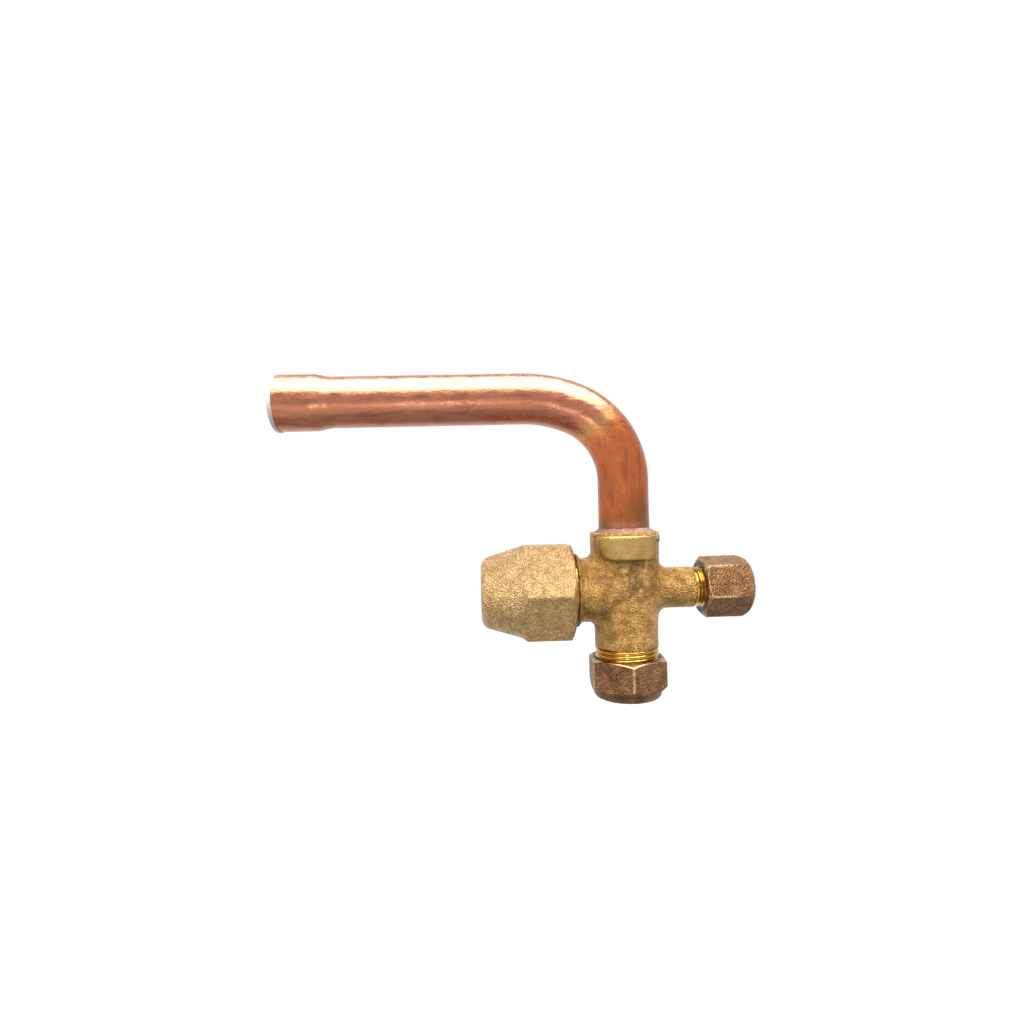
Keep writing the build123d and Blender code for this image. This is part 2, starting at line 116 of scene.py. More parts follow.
def blendColour(tree, factor, first, second, mode="MIX"):
    node = place(tree, "ShaderNodeMix", data_type="RGBA", blend_type=mode)
    feed(tree, factor, node.inputs[0])
    feed(tree, first, node.inputs[6])
    feed(tree, second, node.inputs[7])
    return node.outputs[2]


def cloud(tree, vector, scale, detail=3.0, roughness=0.55, distortion=0.0):
    inputs = {"Vector": vector, "Scale": scale, "Detail": detail, "Roughness": roughness,
              "Distortion": distortion}
    return place(tree, "ShaderNodeTexNoise", inputs).outputs[0]


def newGroup(name, inputs, outputs):
    group = bpy.data.node_groups.new(name, "ShaderNodeTree")
    for label, kind, value in inputs:
        socket = group.interface.new_socket(name=label, in_out="INPUT", socket_type=kind)
        if value is not None:
            socket.default_value = value
    for label, kind in outputs:
        group.interface.new_socket(name=label, in_out="OUTPUT", socket_type=kind)
    return group, group.nodes.new("NodeGroupInput").outputs, group.nodes.new("NodeGroupOutput").inputs


number, vectorKind = "NodeSocketFloat", "NodeSocketVector"

# sandy skin of a hot forging: fine grains, a few pits and slow changes of tone
forgedSkin, given, made = newGroup(
    "forgedSkin",
    [("Vector", vectorKind, None), ("Grain", number, 1.2), ("Pits", number, 0.3)],
    [("Height", number), ("Speckle", number), ("Tone", number)],
)
fine = cloud(forgedSkin, given["Vector"], given["Grain"], 4.0, 0.62)
cells = place(forgedSkin, "ShaderNodeTexVoronoi",
              {"Vector": given["Vector"], "Scale": sums(forgedSkin, "MULTIPLY", given["Grain"], 1.3)},
              feature="SMOOTH_F1").outputs[0]
coarse = cloud(forgedSkin, given["Vector"], sums(forgedSkin, "MULTIPLY", given["Grain"], 0.16), 3.0)
pitted = spread(forgedSkin, cells, 0.0, 0.35, given["Pits"], 0.0)
height = sums(forgedSkin, "SUBTRACT", fine, pitted)
feed(forgedSkin, height, made["Height"])
feed(forgedSkin, spread(forgedSkin, fine, 0.36, 0.66), made["Speckle"])
feed(forgedSkin, spread(forgedSkin, coarse, 0.34, 0.68), made["Tone"])

# bright metal where hands and tools rub the edges
edgeWear, given, made = newGroup(
    "edgeWear",
    [("Vector", vectorKind, None), ("Width", number, 0.0004), ("Breakup", number, 1.0)],
    [("Mask", number)],
)
rounded = place(edgeWear, "ShaderNodeBevel", {"Radius": given["Width"]}, samples=6).outputs[0]
flatNormal = place(edgeWear, "ShaderNodeNewGeometry").outputs["Normal"]
facing = place(edgeWear, "ShaderNodeVectorMath", {0: rounded, 1: flatNormal}, operation="DOT_PRODUCT")
sharp = spread(edgeWear, facing.outputs["Value"], 0.995, 0.93)
patchy = spread(edgeWear, cloud(edgeWear, given["Vector"], given["Breakup"], 3.0), 0.3, 0.6)
feed(edgeWear, sums(edgeWear, "MULTIPLY", sharp, patchy), made["Mask"])

# distance along a branch, radius from its axis and angle round it
branchPlace, given, made = newGroup(
    "branchPlace",
    [("Vector", vectorKind, None)],
    [("Along", number), ("Radius", number), ("Angle", number)],
)
parts = place(branchPlace, "ShaderNodeSeparateXYZ", {0: given["Vector"]}).outputs
square = sums(branchPlace, "ADD", sums(branchPlace, "MULTIPLY", parts[0], parts[0]),
              sums(branchPlace, "MULTIPLY", parts[1], parts[1]))
feed(branchPlace, parts[2], made["Along"])
feed(branchPlace, sums(branchPlace, "SQRT", square), made["Radius"])
feed(branchPlace, sums(branchPlace, "ARCTAN2", parts[1], parts[0]), made["Angle"])

# thin scuffs that run one way
scuffs, given, made = newGroup(
    "scuffs",
    [("Vector", vectorKind, None), ("Scale", number, 1.0), ("Amount", number, 0.5)],
    [("Mask", number)],
)
streaky = cloud(scuffs, given["Vector"], given["Scale"], 5.0, 0.7, 0.4)
wide = spread(scuffs, streaky, 0.60, 0.72)
feed(scuffs, sums(scuffs, "MULTIPLY", wide, given["Amount"]), made["Mask"])
print("shader groups ready")


def useGroup(tree, group, **inputs):
    node = place(tree, "ShaderNodeGroup", node_tree=group)
    for name, value in inputs.items():
        feed(tree, value, node.inputs[name])
    return node.outputs


def newMaterial(name, **plain):
    material = bpy.data.materials.new(name)
    material.use_nodes = True
    tree = material.node_tree
    shader = tree.nodes["Principled BSDF"]
    for socket, value in plain.items():
        feed(tree, value, shader.inputs[socket.replace("_", " ")])
    return material, tree, shader


def measured(tree, branch="up", stretch=(1, 1, 1)):
    where = place(tree, "ShaderNodeTexCoord").outputs["Object"]
    inputs = {"Vector": where, "Location": valveCentre, "Rotation": branchTurn[branch],
              "Scale": [mm * s for s in stretch]}
    return place(tree, "ShaderNodeMapping", inputs, vector_type="TEXTURE").outputs[0]


def bumped(tree, shader, height, distance, strength=1.0):
    inputs = {"Height": height, "Distance": distance * mm, "Strength": strength}
    feed(tree, place(tree, "ShaderNodeBump", inputs).outputs[0], shader.inputs["Normal"])


def within(tree, value, low, high, soft=0.15):
    rising = spread(tree, value, low - soft, low + soft)
    falling = spread(tree, value, high - soft, high + soft, 1.0, 0.0)
    return sums(tree, "MULTIPLY", rising, falling)


copperLook = {
    "drawn": (0.40, 0.155, 0.090),
    "stained": (0.22, 0.072, 0.046),
    "straw": (0.50, 0.235, 0.085),
    "flame": (0.45, 0.125, 0.043),
    "rose": (0.47, 0.185, 0.120),
    "scorched": (0.22, 0.085, 0.030),
    "flux": (0.37, 0.120, 0.085),
    "olive": (0.22, 0.115, 0.048),
}


def makeCopper():
    material, tree, shader = newMaterial("drawnCopper", Metallic=1.0)
    look = copperLook
    where = measured(tree)
    axes = place(tree, "ShaderNodeSeparateXYZ", {0: where}).outputs
    warp = sums(tree, "MULTIPLY", sums(tree, "SUBTRACT", cloud(tree, where, 0.13, 3.0), 0.5), 22.0)
    # the path runs from the bell, round the bend and down to the socket
    path = sums(tree, "ADD", sums(tree, "SUBTRACT", axes[0], axes[2]), warp)
    heated = place(tree, "ShaderNodeValToRGB", {0: spread(tree, path, -108, -10)})
    ramp = heated.color_ramp
    stops = [(0.0, look["drawn"]), (0.40, look["drawn"]), (0.50, look["straw"]),
             (0.60, look["flame"]), (0.88, look["flame"]), (1.0, look["scorched"])]
    while len(ramp.elements) < len(stops):
        ramp.elements.new(0.5)
    for element, (spot, colour) in zip(ramp.elements, stops):
        element.position = spot
        element.color = (*colour, 1)
    # handling stains run along each straight length of the tube
    onLeg = spread(tree, axes[2], 44.0, 52.0, 1.0, 0.0)
    along = cloud(tree, measured(tree, stretch=(5, 1.5, 1)), 0.55, 4.0, 0.65)
    down = cloud(tree, measured(tree, stretch=(1, 1.5, 5)), 0.55, 4.0, 0.65)
    streak = blendColour(tree, onLeg, along, down)
    stain = spread(tree, streak, 0.46, 0.70)
    colour = blendColour(tree, sums(tree, "MULTIPLY", stain, 0.6), heated.outputs[0], look["stained"])
    level = useGroup(tree, scuffs, Vector=measured(tree, stretch=(7, 0.8, 1.0)), Scale=1.3, Amount=0.5)
    steep = useGroup(tree, scuffs, Vector=measured(tree, stretch=(0.8, 1.0, 9)), Scale=0.9, Amount=0.8)
    scuff = blendColour(tree, onLeg, level["Mask"], steep["Mask"])
    colour = blendColour(tree, scuff, colour, look["rose"])
    # flux and soot just above the socket, with a ragged upper edge
    ragged = sums(tree, "ADD", axes[2], sums(tree, "MULTIPLY", cloud(tree, where, 0.40, 4.0), 7.0))
    sooty = spread(tree, ragged, 24.4, 25.6, 1.0, 0.0)
    pinkish = spread(tree, cloud(tree, where, 0.34, 4.0), 0.38, 0.62)
    low = blendColour(tree, pinkish, look["olive"], look["flux"])
    colour = blendColour(tree, sums(tree, "MULTIPLY", sooty, 0.75), colour, low)
    feed(tree, colour, shader.inputs["Base Color"])
    rough = spread(tree, cloud(tree, where, 0.35, 4.0), 0.3, 0.7, 0.20, 0.34)
    feed(tree, sums(tree, "ADD", rough, sums(tree, "MULTIPLY", sooty, 0.2)), shader.inputs["Roughness"])
    dents = cloud(tree, measured(tree, stretch=(2.2, 1, 1)), 0.5, 5.0, 0.6)
    bumped(tree, shader, sums(tree, "SUBTRACT", dents, sums(tree, "MULTIPLY", scuff, 0.2)), 0.12)
    return material


forgedLook = {
    "gold": (0.56, 0.330, 0.108),
    "olive": (0.28, 0.155, 0.044),
    "sootAndShade": (0.120, 0.066, 0.022),
    "spark": (0.80, 0.54, 0.22),
    "machined": (0.50, 0.29, 0.070),
    "satin": (0.45, 0.280, 0.098),
    "flashGlow": (0.36, 0.29, 0.19),
    "grainDepth": 0.9,
}

# where each branch of the cross stops being a raw forging, and the radius of its bore
cutZones = [("flare", 16.15, 5.5), ("port", 21.2, 4.2), ("down", 17.9, 6.9), ("up", 18.1, 8.2)]


def makeForgedBrass():
    material, tree, shader = newMaterial("forgedBrass", Metallic=1.0)
    look = forgedLook
    where = measured(tree)
    axes = place(tree, "ShaderNodeSeparateXYZ", {0: where}).outputs
    skin = useGroup(tree, forgedSkin, Vector=where, Grain=1.9, Pits=0.25)
    colour = blendColour(tree, skin["Tone"], look["gold"], look["olive"])
    colour = blendColour(tree, sums(tree, "MULTIPLY", skin["Speckle"], 0.62), colour, look["sootAndShade"])
    # painted shade: the saddle between the branches is darkened towards the soot colour
    rise = sums(tree, "ABSOLUTE", sums(tree, "SUBTRACT", axes[2], 5.0))
    saddle = sums(tree, "ADD", sums(tree, "ABSOLUTE", sums(tree, "SUBTRACT", axes[0], 1.0)), rise)
    saddleShade = sums(tree, "MULTIPLY", spread(tree, saddle, 3.0, 15.0, 0.75, 0.0),
                spread(tree, cloud(tree, where, 0.34, 4.0), 0.36, 0.58))
    colour = blendColour(tree, saddleShade, colour, look["sootAndShade"])
    # painted highlight: a pale patch on the front of the cross stands in for the glow of a flash
    glowGap = place(tree, "ShaderNodeVectorMath", {0: where, 1: (0.6, -10.0, 3.0)}, operation="DISTANCE")
    paintedGlow = sums(tree, "MULTIPLY", spread(tree, glowGap.outputs["Value"], 0.4, 4.2, 0.42, 0.0),
                  spread(tree, cloud(tree, where, 1.2, 4.0), 0.40, 0.66))
    colour = blendColour(tree, paintedGlow, colour, look["flashGlow"])
    # painted glints: scattered bright spots in the base colour stand in for sparkle off the grain
    glints = spread(tree, cloud(tree, where, 3.4, 2.0), 0.62, 0.72)
    colour = blendColour(tree, sums(tree, "MULTIPLY", glints, 0.6), colour, look["spark"])
    # turned faces and threads
    turned = None
    for branch, start, bore in cutZones:
        spot = useGroup(tree, branchPlace, Vector=measured(tree, branch))
        fringe = sums(tree, "MULTIPLY", sums(tree, "SUBTRACT", cloud(tree, where, 0.9, 3.0), 0.5), 1.2)
        cut = spread(tree, sums(tree, "ADD", spot["Along"], fringe), start, start + 0.25)
        drilled = sums(tree, "MULTIPLY", spread(tree, spot["Radius"], bore, bore + 0.1, 1.0, 0.0),
                       spread(tree, spot["Along"], 0.0, 1.0))
        either = sums(tree, "MAXIMUM", cut, drilled)
        turned = either if turned is None else sums(tree, "MAXIMUM", turned, either)
    colour = blendColour(tree, turned, colour, look["machined"])
    # smooth pads on the socket
    upright = useGroup(tree, branchPlace, Vector=where)
    pad = sums(tree, "MULTIPLY", spread(tree, upright["Radius"], 11.05, 11.3),
               within(tree, axes[2], 9.4, 17.6))
    pad = sums(tree, "MULTIPLY", pad, spread(tree, sums(tree, "ABSOLUTE", axes[0]), 10.0, 10.3, 1.0, 0.0))
    padTone = spread(tree, cloud(tree, where, 0.28, 3.0), 0.35, 0.65, 0.0, 0.45)
    colour = blendColour(tree, pad, colour, blendColour(tree, padTone, look["satin"], look["olive"]))
    wear = useGroup(tree, edgeWear, Vector=where, Width=0.0004, Breakup=0.8)
    colour = blendColour(tree, sums(tree, "MULTIPLY", wear["Mask"], 0.5), colour, look["spark"])
    feed(tree, colour, shader.inputs["Base Color"])
    smooth = sums(tree, "MAXIMUM", turned, sums(tree, "MULTIPLY", pad, 0.55))
    rough = sums(tree, "SUBTRACT", spread(tree, skin["Speckle"], 0.0, 1.0, 0.36, 0.48),
                 sums(tree, "MULTIPLY", smooth, 0.22))
    feed(tree, rough, shader.inputs["Roughness"])
    rest = sums(tree, "SUBTRACT", 1.0, sums(tree, "MAXIMUM", turned, sums(tree, "MULTIPLY", pad, 0.85)))
    bumped(tree, shader, sums(tree, "MULTIPLY", skin["Height"], rest), look["grainDepth"])
    return material


nutLook = {
    "tan": (0.60, 0.405, 0.200),
    "brown": (0.44, 0.280, 0.122),
    "shade": (0.175, 0.105, 0.044),
    "machined": (0.50, 0.31, 0.10),
    "grain": 1.9,
    "grainDepth": 0.8,
    "wear": 0.25,
    "sides": 15.0,
    "rough": 0.42,
    "soft": 0.0006,
    "mouths": [{"branch": "flare", "start": 17.2, "radius": 14.2, "slope": 0.53, "bore": 11.4,
                "reach": 27.6, "corner": 91.5, "shine": 0.5}],
}

capLook = {
    "tan": (0.285, 0.148, 0.066),
    "brown": (0.160, 0.077, 0.033),
    "shade": (0.060, 0.030, 0.014),
    "machined": (0.48, 0.32, 0.15),
    "grain": 1.7,
    "grainDepth": 0.9,
    "wear": 0.9,
    "sides": 8.6,
    "rough": 0.36,
    "soft": 0.0005,
    "mouths": [{"branch": "down", "start": 21.3, "radius": 11.1, "slope": 0.413, "bore": 10.2,
                "reach": 31.2, "corner": 93.5, "shine": 1.0},
               {"branch": "port", "start": 24.0, "radius": 8.2, "slope": 0.58, "bore": 6.6,
                "reach": 36.6, "corner": 43.3, "shine": 0.3}],
}


def makeHexBrass(name, look):
    material, tree, shader = newMaterial(name, Metallic=1.0)
    where = measured(tree)
    skin = useGroup(tree, forgedSkin, Vector=where, Grain=look["grain"], Pits=0.3)
    colour = blendColour(tree, skin["Tone"], look["tan"], look["brown"])
    colour = blendColour(tree, sums(tree, "MULTIPLY", skin["Speckle"], 0.7), colour, look["shade"])
    turned = None
    edges = None
    paintedFaceShade = None
    for mouth in look["mouths"]:
        start, bore = mouth["start"], mouth["bore"]
        spot = useGroup(tree, branchPlace, Vector=measured(tree, mouth["branch"]))
        # distance round the hexagon from its nearest corner
        fromFirst = sums(tree, "SUBTRACT", spot["Angle"], math.radians(mouth["corner"]))
        fromCorner = sums(tree, "PINGPONG", fromFirst, math.pi / 6)
        rubbed = spread(tree, sums(tree, "MULTIPLY", fromCorner, spot["Radius"]), 0.15, 0.55, 1.0, 0.0)
        rubbed = sums(tree, "MULTIPLY", rubbed, within(tree, spot["Along"], start, start + look["sides"]))
        edges = rubbed if edges is None else sums(tree, "MAXIMUM", edges, rubbed)
        # the cone that bevels the mouth: it meets the corners further along
        outward = sums(tree, "SUBTRACT", spot["Radius"], mouth["radius"])
        cone = sums(tree, "SUBTRACT", sums(tree, "SUBTRACT", spot["Along"], start),
                    sums(tree, "MULTIPLY", outward, mouth["slope"]))
        bevel = spread(tree, cone, 0.10, 0.22, mouth["shine"], 0.0)
        # painted shade: the flat face of each mouth is darkened towards the shade colour
        face = sums(tree, "MULTIPLY", spread(tree, spot["Along"], start + 0.1, start + 0.2, 1.0, 0.0),
                    spread(tree, spot["Along"], start - 1.0, start - 0.5))
        paintedFaceShade = face if paintedFaceShade is None else sums(tree, "MAXIMUM", paintedFaceShade, face)
        inside = spread(tree, spot["Radius"], bore, bore + 0.1, 1.0, 0.0)
        inside = sums(tree, "MULTIPLY", inside, within(tree, spot["Along"], start - 0.4, mouth["reach"]))
        near = spread(tree, spot["Along"], start - 2.0, start - 1.0)
        bevel = sums(tree, "MULTIPLY", sums(tree, "MAXIMUM", bevel, inside), near)
        turned = bevel if turned is None else sums(tree, "MAXIMUM", turned, bevel)
    colour = blendColour(tree, turned, colour, look["machined"])
    # painted shade on the mouth faces
    colour = blendColour(tree, sums(tree, "MULTIPLY", paintedFaceShade, 0.7), colour, look["shade"])
    wear = useGroup(tree, edgeWear, Vector=where, Width=look["soft"], Breakup=0.5)
    patchy = spread(tree, cloud(tree, where, 0.9, 3.0), 0.25, 0.55, 0.35, 1.0)
    worn = sums(tree, "MAXIMUM", wear["Mask"], sums(tree, "MULTIPLY", edges, patchy))
    colour = blendColour(tree, sums(tree, "MULTIPLY", worn, look["wear"]), colour, look["machined"])
    feed(tree, colour, shader.inputs["Base Color"])
    grainy = spread(tree, skin["Speckle"], 0.0, 1.0, look["rough"], look["rough"] + 0.1)
    rough = sums(tree, "SUBTRACT", grainy, sums(tree, "MULTIPLY", turned, 0.16))
    feed(tree, rough, shader.inputs["Roughness"])
    rest = sums(tree, "SUBTRACT", 1.0, turned)
    bumped(tree, shader, sums(tree, "MULTIPLY", skin["Height"], rest), look["grainDepth"])
    return material


def makeTurnedBrass():
    material, tree, shader = newMaterial("turnedBrass", Metallic=1.0)
    where = measured(tree)
    stain = spread(tree, cloud(tree, where, 0.4, 3.0), 0.45, 0.75)
    colour = blendColour(tree, stain, (0.55, 0.34, 0.11), (0.34, 0.20, 0.065))
    feed(tree, colour, shader.inputs["Base Color"])
    lines = place(tree, "ShaderNodeTexWave", {"Vector": where, "Scale": 2.4, "Distortion": 0.3},
                  bands_direction="Z").outputs[1]
    feed(tree, spread(tree, lines, 0.0, 1.0, 0.18, 0.30), shader.inputs["Roughness"])
    bumped(tree, shader, lines, 0.01)
    return material


def makeThreadBrass():
    material, tree, shader = newMaterial("threadBrass", Metallic=1.0)
    where = measured(tree)
    grime = spread(tree, cloud(tree, where, 0.8, 4.0), 0.50, 0.72)
    colour = blendColour(tree, sums(tree, "MULTIPLY", grime, 0.7), (0.50, 0.29, 0.062), (0.22, 0.115, 0.026))
    feed(tree, colour, shader.inputs["Base Color"])
    feed(tree, spread(tree, grime, 0.0, 1.0, 0.13, 0.30), shader.inputs["Roughness"])
    bumped(tree, shader, cloud(tree, measured(tree, stretch=(1, 1, 0.3)), 2.0, 3.0), 0.02)
    return material


def makeBraze():
    material, tree, shader = newMaterial("brazeAlloy", Metallic=0.9)
    where = measured(tree)
    flux = spread(tree, cloud(tree, where, 0.9, 4.0, 0.65), 0.42, 0.66)
    colour = blendColour(tree, flux, (0.28, 0.185, 0.145), (0.19, 0.100, 0.066))
    grey = spread(tree, cloud(tree, where, 0.5, 3.0), 0.52, 0.62)
    colour = blendColour(tree, sums(tree, "MULTIPLY", grey, 0.6), colour, (0.28, 0.23, 0.18))
    feed(tree, colour, shader.inputs["Base Color"])
    feed(tree, spread(tree, flux, 0.0, 1.0, 0.30, 0.55), shader.inputs["Roughness"])
    bumped(tree, shader, cloud(tree, where, 1.8, 5.0, 0.7), 0.5)
    return material


def makePlugPlastic():
    material, tree, shader = newMaterial(
        "milkyPlastic", Transmission_Weight=0.1, IOR=1.5, Subsurface_Weight=0.3,
        Subsurface_Radius=(1.0, 0.8, 0.8), Subsurface_Scale=0.002)
    where = measured(tree)
    flow = cloud(tree, where, 0.25, 3.0)
    feed(tree, blendColour(tree, spread(tree, flow, 0.35, 0.65), (0.74, 0.57, 0.59), (0.66, 0.56, 0.61)),
         shader.inputs["Base Color"])
    feed(tree, spread(tree, cloud(tree, where, 1.5, 4.0), 0.3, 0.7, 0.28, 0.45), shader.inputs["Roughness"])
    bumped(tree, shader, cloud(tree, where, 2.0, 3.0), 0.04)
    return material


def makeSoft(name, light, dark, rough, grain, depth):
    material, tree, shader = newMaterial(name)
    where = measured(tree)
    feed(tree, blendColour(tree, spread(tree, cloud(tree, where, 0.5, 3.0), 0.35, 0.65), light, dark),
         shader.inputs["Base Color"])
    feed(tree, spread(tree, cloud(tree, where, grain, 4.0), 0.3, 0.7, rough - 0.06, rough + 0.06),
         shader.inputs["Roughness"])
    bumped(tree, shader, cloud(tree, where, grain, 4.0), depth)
    return material


def makeSpringSteel():
    material, tree, shader = newMaterial("springSteel", Metallic=1.0)
    where = measured(tree)
    oil = spread(tree, cloud(tree, where, 0.7, 4.0), 0.40, 0.70)
    feed(tree, blendColour(tree, oil, (0.42, 0.42, 0.43), (0.17, 0.16, 0.16)), shader.inputs["Base Color"])
    feed(tree, spread(tree, oil, 0.0, 1.0, 0.26, 0.42), shader.inputs["Roughness"])
    bumped(tree, shader, cloud(tree, where, 3.0, 3.0), 0.02)
    return material


threadBrass = makeThreadBrass()
brazeAlloy = makeBraze()
forgedBrass = makeForgedBrass()
finishes = {
    "forged_brass": forgedBrass,
    "copper": makeCopper(),
    "braze": brazeAlloy,
    "plug_plastic": makePlugPlastic(),
    "nut_brass": makeHexBrass("nutBrass", nutLook),
    "cap_brass": makeHexBrass("capBrass", capLook),
    "turned_brass": makeTurnedBrass(),
    "seal_rubber": makeSoft("sealRubber", (0.020, 0.020, 0.022), (0.032, 0.031, 0.030), 0.5, 2.5, 0.02),
    "spring_steel": makeSpringSteel(),
    "gasket_nylon": makeSoft("gasketNylon", (0.78, 0.76, 0.70), (0.70, 0.66, 0.58), 0.42, 2.0, 0.02),
    "core_seal": makeSoft("coreSeal", (0.60, 0.58, 0.52), (0.48, 0.46, 0.42), 0.40, 2.5, 0.01),
}
for part in frame["record"]["subparts"]:
    for slot in nodes[part["node"]].material_slots:
        slot.material = finishes[part["material_slot"]]
print("materials ready")


def finishPiece(name, mesh, body, material, sharp=35):
    bmesh.ops.remove_doubles(mesh, verts=mesh.verts, dist=1e-7)
    bmesh.ops.recalc_face_normals(mesh, faces=mesh.faces)
    data = bpy.data.meshes.new(name)
    mesh.to_mesh(data)
    mesh.free()
    data.shade_smooth()
    data.set_sharp_from_angle(angle=math.radians(sharp))
    data.materials.append(material)
    piece = bpy.data.objects.new(name, data)
    bpy.context.scene.collection.objects.link(piece)
    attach(piece, body)
    return piece


threads = {
    "flareThread": {"branch": "flare", "body": "valve", "start": 15.7, "end": 25.6, "pitch": 1.814,
                    "root": 10.0, "crest": 11.11, "flat": 0.24, "foot": 1.62, "slot": "forged_brass"},
    "capThread": {"branch": "down", "body": "valve", "start": 17.5, "end": 28.6, "pitch": 1.25,
                  "root": 9.35, "crest": 10.0, "flat": 0.17, "foot": 1.10, "slot": "forged_brass"},
    "portThread": {"branch": "port", "body": "valve", "start": 21.1, "end": 32.6, "pitch": 1.27,
                   "root": 5.6, "crest": 6.35, "flat": 0.17, "foot": 1.12, "slot": "forged_brass"},
    "stemThread": {"branch": "down", "body": "stem", "start": 16.4, "end": 18.8, "pitch": 1.0,
                   "root": 6.85, "crest": 7.45, "flat": 0.14, "foot": 0.88, "slot": "turned_brass"},
}
stepsPerTurn = 72


def cutThread(name, size):
    root, crest = size["root"] - 0.06, size["crest"]
    halfFoot, halfFlat = size["foot"] / 2, size["flat"] / 2
    first = size["start"] + halfFoot
    turns = (size["end"] - size["start"] - size["foot"]) / size["pitch"]
    steps = round(turns * stepsPerTurn)
    mesh = bmesh.new()
    outline = [(root, -halfFoot), (crest - 0.04, -halfFlat), (crest, -halfFlat * 0.5),
               (crest, halfFlat * 0.5), (crest - 0.04, halfFlat), (root, halfFoot)]
    corners = [mesh.verts.new((radius, 0, first + along)) for radius, along in outline]
    profile = mesh.faces.new(corners)
    bmesh.ops.spin(mesh, geom=[profile, *profile.edges, *profile.verts], cent=(0, 0, 0), axis=(0, 0, 1),
                   dvec=(0, 0, turns * size["pitch"] / steps), angle=turns * 2 * math.pi, steps=steps,
                   use_merge=False)
    # the ridge fades out at each end
    for vert in mesh.verts:
        radius = math.hypot(vert.co.x, vert.co.y)
        room = min(vert.co.z - size["start"], size["end"] - vert.co.z)
        fade = min(1.0, room / (size["pitch"] * 0.5))
        if radius > root + 0.01:
            kept = root + (radius - root) * max(fade, 0.0)
            vert.co.x *= kept / radius
            vert.co.y *= kept / radius
    bmesh.ops.transform(mesh, matrix=alongBranch(size["branch"]), verts=mesh.verts)
    return finishPiece(name, mesh, size["body"], threadBrass, 30)


for threadName, threadSize in threads.items():
    cutThread(threadName, threadSize)
print("threads cut")

collars = {
    "flareCollar": {"branch": "flare", "ragged": 0.0, "outline": [
        (14.0, 9.85, 0), (14.0, 10.06, 0), (14.45, 10.10, 0.3), (15.55, 11.50, 0.25), (15.95, 11.60, 0.12),
        (16.10, 11.3, 0.1), (16.10, 9.85, 0)]},
    "stemCollar": {"branch": "down", "ragged": 0.22, "outline": [
        (14.9, 9.2, 0), (14.9, 9.97, 0), (17.85, 9.98, 0.12), (18.1, 9.75, 0.1), (18.15, 9.2, 0)]},
    "portCollar": {"branch": "port", "ragged": 0.14, "outline": [
        (20.1, 5.45, 0), (20.1, 6.42, 0), (21.2, 6.43, 0.1), (21.4, 6.25, 0.1), (21.45, 5.45, 0)]},
}


def traced(outline, step):
    points = []
    for index, (along, radius, cut) in enumerate(outline):
        corner = Vector((along, radius))
        before = Vector(outline[index - 1][:2])
        after = Vector(outline[(index + 1) % len(outline)][:2])
        if cut:
            start = corner + (before - corner).normalized() * cut
            finish = corner + (after - corner).normalized() * cut
            for turn in (0.0, 0.25, 0.5, 0.75, 1.0):
                points.append(start.lerp(corner, turn).lerp(corner.lerp(finish, turn), turn))
        else:
            points.append(corner)
    closer = []
    for first, second in zip(points, points[1:] + points[:1]):
        count = max(1, round((second - first).length / step))
        closer += [first.lerp(second, share / count) for share in range(count)]
    return closer


def turnOutline(outline, step, steps):
    mesh = bmesh.new()
    corners = [mesh.verts.new((point.y, 0, point.x)) for point in traced(outline, step)]
    edges = [mesh.edges.new(pair) for pair in zip(corners, corners[1:] + corners[:1])]
    bmesh.ops.spin(mesh, geom=[*corners, *edges], cent=(0, 0, 0), axis=(0, 0, 1), dvec=(0, 0, 0),
                   angle=2 * math.pi, steps=steps, use_merge=True)
    return mesh


def forgeCollar(name, size):
    mesh = turnOutline(size["outline"], 0.5, 180)
    last = max(point[0] for point in size["outline"])
    for vert in mesh.verts:
        if size["ragged"] and vert.co.z > last - 0.6:
            vert.co.z += size["ragged"] * (noise.noise(vert.co * 0.9) + 0.7 * noise.noise(vert.co * 2.6))
    bmesh.ops.transform(mesh, matrix=alongBranch(size["branch"]), verts=mesh.verts)
    return finishPiece(name, mesh, "valve", forgedBrass, 40)


for collarName, collarSize in collars.items():
    forgeCollar(collarName, collarSize)
print("collars forged")

pad = {
    "width": 19.4, "top": 17.25, "bottom": 9.9, "foot": 3.3, "head": 0.8, "under": 10.65, "rise": 0.90,
    "edge": 0.9, "across": 84, "up": 40,
}


def insidePad(x, z):
    halfWidth, halfHeight = pad["width"] / 2, (pad["top"] - pad["bottom"]) / 2
    above = z - (pad["top"] + pad["bottom"]) / 2
    corner = pad["head"] if above > 0 else pad["foot"]
    outX = abs(x) - halfWidth + corner
    outZ = abs(above) - halfHeight + corner
    return corner - math.hypot(max(outX, 0), max(outZ, 0)) - min(max(outX, outZ), 0)


def pressPad(name, side):
    mesh = bmesh.new()
    bmesh.ops.create_grid(mesh, x_segments=pad["across"], y_segments=pad["up"], size=0.5)
    for vert in mesh.verts:
        x = vert.co.x * (pad["width"] + 0.8)
        z = (pad["top"] + pad["bottom"]) / 2 + vert.co.y * (pad["top"] - pad["bottom"] + 0.8)
        deep = min(max(insidePad(x, z) / pad["edge"], 0.0), 1.0)
        radius = pad["under"] + pad["rise"] * math.sqrt(deep * (2 - deep))
        radius += 0.04 * deep * noise.noise(Vector((x, side * 9, z)) * 0.25)
        across = math.asin(min(max(x / radius, -1), 1))
        vert.co = (radius * math.sin(across), side * radius * math.cos(across), z)
    behind = bmesh.ops.extrude_face_region(mesh, geom=mesh.faces[:], use_keep_orig=True)["geom"]
    for vert in behind:
        if isinstance(vert, bmesh.types.BMVert):
            vert.co.x *= 0.97
            vert.co.y *= 0.97
    bmesh.ops.transform(mesh, matrix=alongBranch("up"), verts=mesh.verts)
    return finishPiece(name, mesh, "valve", forgedBrass, 50)


pressPad("padFront", -1)
pressPad("padBack", 1)
print("pads pressed")

